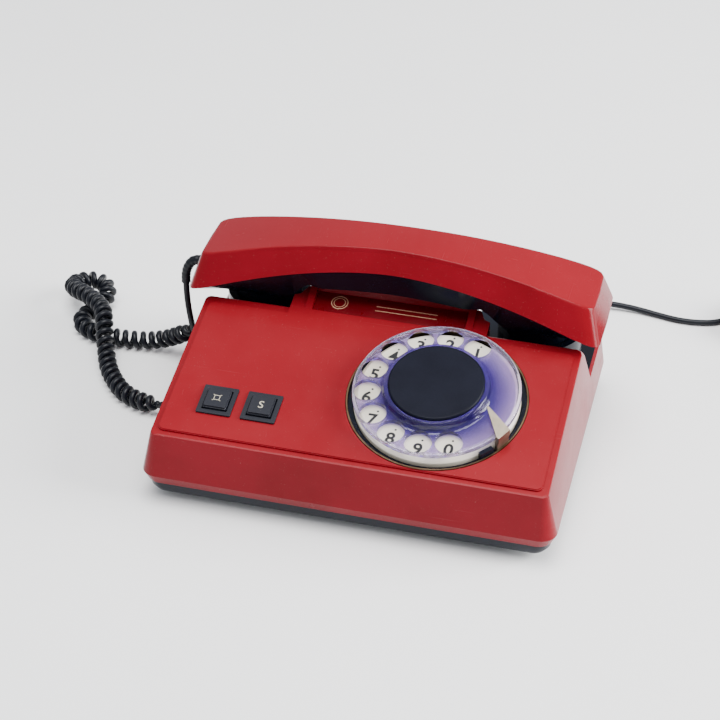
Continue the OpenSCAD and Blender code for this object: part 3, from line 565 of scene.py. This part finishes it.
# %% Case, handset and finger wheel
housing = in_body(rounded_copy("upper_housing", "housing", 0.35, RED), "base")
housing.data.materials.append(BLACK)
SEAT_X, SEAT_Y, SEAT_R, SEAT_TOP_Z = 70, 42, 21.6, 55.6
DECK_Z, DECK_FROM_Y = 34, 16
for face in housing.data.polygons:
    x, y, z = face.center / MM
    at_seat = math.hypot(abs(x) - SEAT_X, y - SEAT_Y) < SEAT_R and z < SEAT_TOP_Z
    on_deck = face.normal.z > 0.9 and y > DECK_FROM_Y and abs(z - DECK_Z) < 1
    if at_seat or on_deck:
        face.material_index = 1
pan = in_body(rounded_copy("base_pan", "pan", 0.3, BLACK), "base")
shell = in_body(rounded_copy("handset_shell", "handset_top", 0, RED), "handset")
cover = in_body(rounded_copy("handset_cover", "handset_under", 0, BLACK), "handset")
wheel = in_body(rounded_copy("finger_wheel", "wheel", 0.25, VIOLET), "dial")

# %% [markdown]
# ## Ribbed sleeves
# Where a cord leaves a case it has a soft sleeve with low ribs, thick at the case and thin at the
# cord, so that it cannot kink. It is a tube whose radius is set point by point along its route.


# %% Sleeves
def sleeve(name, route, radii, rib, step, node, body):
    """A tube along a route in millimetres, from radii[0] to radii[1], with ribs step apart."""
    line = even_points(smooth_line(route), step / 4 * MM)
    sizes = []
    for i in range(len(line)):
        share = i / (len(line) - 1)
        raised = rib if i % 4 in (0, 1) else 0
        sizes.append((radii[0] + (radii[1] - radii[0]) * share + raised) * MM)
    piece = tube(name, line, sizes, 6)
    piece.data.materials.clear()
    piece.data.materials.append(CORD)
    piece.data.set_sharp_from_angle(angle=math.radians(50))
    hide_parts(node)
    return in_body(piece, body)


BOOT_ROUTE = [
    (-95, 36, 66.2), (-100, 36, 66.2), (-105, 35.9, 66.2), (-108.6, 35.4, 65),
    (-111, 34.8, 61.6), (-112, 34.4, 57.6), (-112.2, 34.2, 53),
]
handset_sleeve = sleeve("handset_sleeve", BOOT_ROUTE, (2.55, 2.25), 0.14, 2.2, "handset_boot", "handset")

# %% [markdown]
# ## Rounded small parts
# The keys, their bezels, the finger stop, the hub cap and the plug get the same narrow round as the
# case, which puts a thin line of light on each edge; the number plate is copied without a round.

# %% Small parts
for node, radius, finish_of, body, slot in (
        ("key_cap_left", 0.3, KEY_BLACK, "left_key", "key_plastic"),
        ("key_cap_right", 0.3, KEY_BLACK, "right_key", "key_plastic"),
        ("key_bezel_left", 0.15, KEY_BLACK, "base", "key_plastic"),
        ("key_bezel_right", 0.15, KEY_BLACK, "base", "key_plastic"),
        ("number_plate", 0, IVORY, "base", "ivory_plastic"),
        ("finger_stop", 0.2, STOP, "base", "ivory_plastic"),
        ("hub_cap", 0.3, HUB, "dial", "black_plastic")):
    in_body(rounded_copy(node, node + "_round", radius, finish_of), body)
plug = in_body(rounded_copy("line_plug", "plug_round", 0.6, PLUG_BLACK, sharp=50), "base")

# %% [markdown]
# ## The tie round the spare cord
# A strap holds the coil together on its outer side.

# %% Tie
tie_bm = bmesh.new()
bmesh.ops.create_grid(tie_bm, x_segments=1, y_segments=1, size=0.5,
                      matrix=Matrix.Diagonal((15.2, 13.6, 1, 1)))
bmesh.ops.bevel(tie_bm, geom=tie_bm.verts[:], offset=2.2, segments=5, profile=0.5, affect="VERTICES")
outline = tie_bm.faces[:][0]
bmesh.ops.inset_region(tie_bm, faces=[outline], thickness=0.7, use_boundary=True)
bmesh.ops.delete(tie_bm, geom=[outline], context="FACES_ONLY")
walls = bmesh.ops.extrude_face_region(tie_bm, geom=tie_bm.faces[:])["geom"]
bmesh.ops.translate(tie_bm, vec=(0, 0, 5), verts=[v for v in walls if isinstance(v, bmesh.types.BMVert)])
bmesh.ops.recalc_face_normals(tie_bm, faces=tie_bm.faces[:])
bmesh.ops.scale(tie_bm, vec=(MM, MM, MM), verts=tie_bm.verts[:])
tie_bm.transform(Matrix.Translation(Vector((168, 139.6, 7.0)) * MM)
                 @ Matrix.Rotation(math.radians(20), 4, "Z") @ Matrix.Rotation(math.radians(90), 4, "X"))
tie = in_body(link_mesh("cord_tie", tie_bm, CORD), "base")
print("tie box:", [[round(v, 4) for v in corner] for corner in (tie.bound_box[0], tie.bound_box[6])])

# %% [markdown]
# ## Print on the dial and the keys
# Numbers are set as flat letters, turned into a mesh and laid on the sloped face. The dial's
# numbers stand upright on the cream plate, one under each finger hole, each with a small dot beside
# it.

# %% Flat print
PANEL_TURN = Matrix.Rotation(SLOPE, 4, "X")


def laid_print(name, bm, place, material, body):
    """Flat shapes drawn in millimetres, laid on the panel's slope at a place."""
    bmesh.ops.scale(bm, vec=(MM, MM, MM), verts=bm.verts[:])
    bm.transform(Matrix.Translation(place) @ PANEL_TURN)
    return in_body(link_mesh(name, bm, material), body)


def letter_shapes(text, size, heavy=0.0):
    """A text as flat faces, centred on zero, size millimetres tall."""
    curve = bpy.data.curves.new("letters", "FONT")
    curve.body = text
    curve.align_x, curve.align_y = "CENTER", "CENTER"
    curve.size = size / 0.73
    curve.offset = heavy * 0.2
    curve.bevel_depth = heavy
    curve.bevel_resolution = 0
    bm = bmesh.new()
    bm.from_mesh(mesh_from(curve))
    bmesh.ops.remove_doubles(bm, verts=bm.verts[:], dist=0.0005)
    low = [min(v.co[i] for v in bm.verts) for i in range(2)]
    high = [max(v.co[i] for v in bm.verts) for i in range(2)]
    middle = Vector(((low[0] + high[0]) / 2, (low[1] + high[1]) / 2, 0))
    bmesh.ops.translate(bm, vec=-middle, verts=bm.verts[:])
    bmesh.ops.scale(bm, vec=(1, 1, 0.1), verts=bm.verts[:])
    return bm


def ring_shape(bm, outer, inner, place=(0, 0, 0), segments=48):
    """A flat ring; an inner radius of zero gives a disc."""
    spot = Matrix.Translation(place)
    made = bmesh.ops.create_circle(bm, cap_ends=True, radius=outer, segments=segments, matrix=spot)
    if inner:
        face = made["verts"][0].link_faces[0]
        bmesh.ops.inset_region(bm, faces=[face], thickness=outer - inner, use_boundary=True)
        bmesh.ops.delete(bm, geom=[face], context="FACES_ONLY")


def bar_shape(bm, width, height, place=(0, 0, 0)):
    spot = Matrix.Translation(place) @ Matrix.Diagonal((width, height, 1, 1))
    bmesh.ops.create_grid(bm, x_segments=1, y_segments=1, size=0.5, matrix=spot)


# %% Dial numbers
PLATE_HIGH = 4.53
HOLE_RING, FIRST_HOLE, HOLE_STEP = 32.6, 65.8, 25.2
DIGIT_HIGH, DIGIT_WEIGHT = 6.6, 0.22
for i in range(10):
    angle = math.radians(FIRST_HOLE + HOLE_STEP * i)
    across, up = math.cos(angle), math.sin(angle)
    digit = letter_shapes(str((i + 1) % 10), DIGIT_HIGH, DIGIT_WEIGHT)
    where = on_panel(DIAL_ACROSS + HOLE_RING * across, DIAL_UP + HOLE_RING * up - 1.5, PLATE_HIGH)
    laid_print(f"digit_{(i + 1) % 10}", digit, where, BLACK_PRINT, "base")
dots = bmesh.new()
for i in range(10):
    angle = math.radians(FIRST_HOLE + HOLE_STEP * i)
    reach = HOLE_RING - 0.4
    ring_shape(dots, 0.55, 0, (reach * math.cos(angle) + 1.2, reach * math.sin(angle) + 3.4, 0), 16)
laid_print("number_dots", dots, on_panel(DIAL_ACROSS, DIAL_UP, PLATE_HIGH), BLACK_PRINT, "base")

# %% [markdown]
# ## Marks on the keys
# One key carries a small open square with its corner ticks, the other a plain letter.

# %% Key marks
KEY_ACROSS, KEY_UP, KEY_PITCH, KEY_HIGH = -68.2, 24.8, 21.85, 4.03
LETTER_HIGH, LETTER_WEIGHT = 4.4, 0.02
square = bmesh.new()
for side in (-1, 1):
    bar_shape(square, 2.9, 0.32, (0, side * 1.3, 0))
    bar_shape(square, 0.32, 2.3, (side * 1.3, 0, 0))
    for end in (-1, 1):
        bar_shape(square, 0.7, 0.32, (side * 1.75, end * 1.6, 0))
laid_print("key_mark_left", square, on_panel(KEY_ACROSS, KEY_UP, KEY_HIGH), CREAM_PRINT, "left_key")
letter = letter_shapes("S", LETTER_HIGH, LETTER_WEIGHT)
laid_print("key_mark_right", letter, on_panel(KEY_ACROSS + KEY_PITCH, KEY_UP, KEY_HIGH), CREAM_PRINT,
           "right_key")

# %% [markdown]
# ## Trim on the nameplate
# The recess in the lip carries only a plain ring and two fine lines in gold, with no lettering.

# %% Nameplate trim
NAMEPLATE_HIGH = 1.03
trim = bmesh.new()
ring_shape(trim, 4.3, 3.9, (-26, 0.6, 0))
ring_shape(trim, 3.0, 2.7, (-26, 0.6, 0))
for width, across, up in ((31, 8, 1.6), (31, 8, -1.2)):
    bar_shape(trim, width, 0.35, (across, up, 0))
laid_print("nameplate_trim", trim, on_panel(-1.5, 97.6, NAMEPLATE_HIGH), GOLD_PRINT, "base")

# %% [markdown]
# ## Floor and light
# A pale floor and two soft lights of equal power: a broad one overhead, and a smaller one at the
# right that lights the case's right side.

# %% Floor
bm = bmesh.new()
bmesh.ops.create_circle(bm, cap_ends=True, radius=4, segments=96)
floor_finish = Finish("floor_pale", Roughness=0.55)
floor_finish.drive("Base Color", floor_finish.mix(floor_finish.ramp(floor_finish.noise(3, 4, 0.6), 0.3, 0.7),
                                                  (0.90, 0.90, 0.895), (0.94, 0.94, 0.935)))
floor = link_mesh("floor", bm, floor_finish.material)

# %% Lights
world = bpy.data.worlds.new("studio")
world.use_nodes = True
world.node_tree.nodes["Background"].inputs["Color"].default_value = (0.93, 0.95, 1.0, 1)
world.node_tree.nodes["Background"].inputs["Strength"].default_value = 0.8
bpy.context.scene.world = world


def soft_light(name, place, aim, size, watts):
    data = bpy.data.lights.new(name, "AREA")
    data.shape = "DISK"
    data.size = size
    data.energy = watts
    lamp = bpy.data.objects.new(name, data)
    bpy.context.scene.collection.objects.link(lamp)
    lamp.location = place
    lamp.rotation_euler = (Vector(aim) - Vector(place)).to_track_quat("-Z", "Y").to_euler()


soft_light("window", (1.6, 0.2, 0.75), (0, 0, 0.05), 1.2, 70)
soft_light("sky", (0.0, -0.2, 2.1), (0, 0, 0.05), 1.8, 70)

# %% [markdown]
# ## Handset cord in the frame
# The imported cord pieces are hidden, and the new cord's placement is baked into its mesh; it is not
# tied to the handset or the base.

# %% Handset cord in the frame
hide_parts("handset_cord_tail", "handset_cord_curl", "handset_cord_end")
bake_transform(handset_cord)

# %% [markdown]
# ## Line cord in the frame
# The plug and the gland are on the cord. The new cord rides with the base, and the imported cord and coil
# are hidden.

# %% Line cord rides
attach(line_cord, "base")
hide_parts("line_cord", "line_cord_coil")
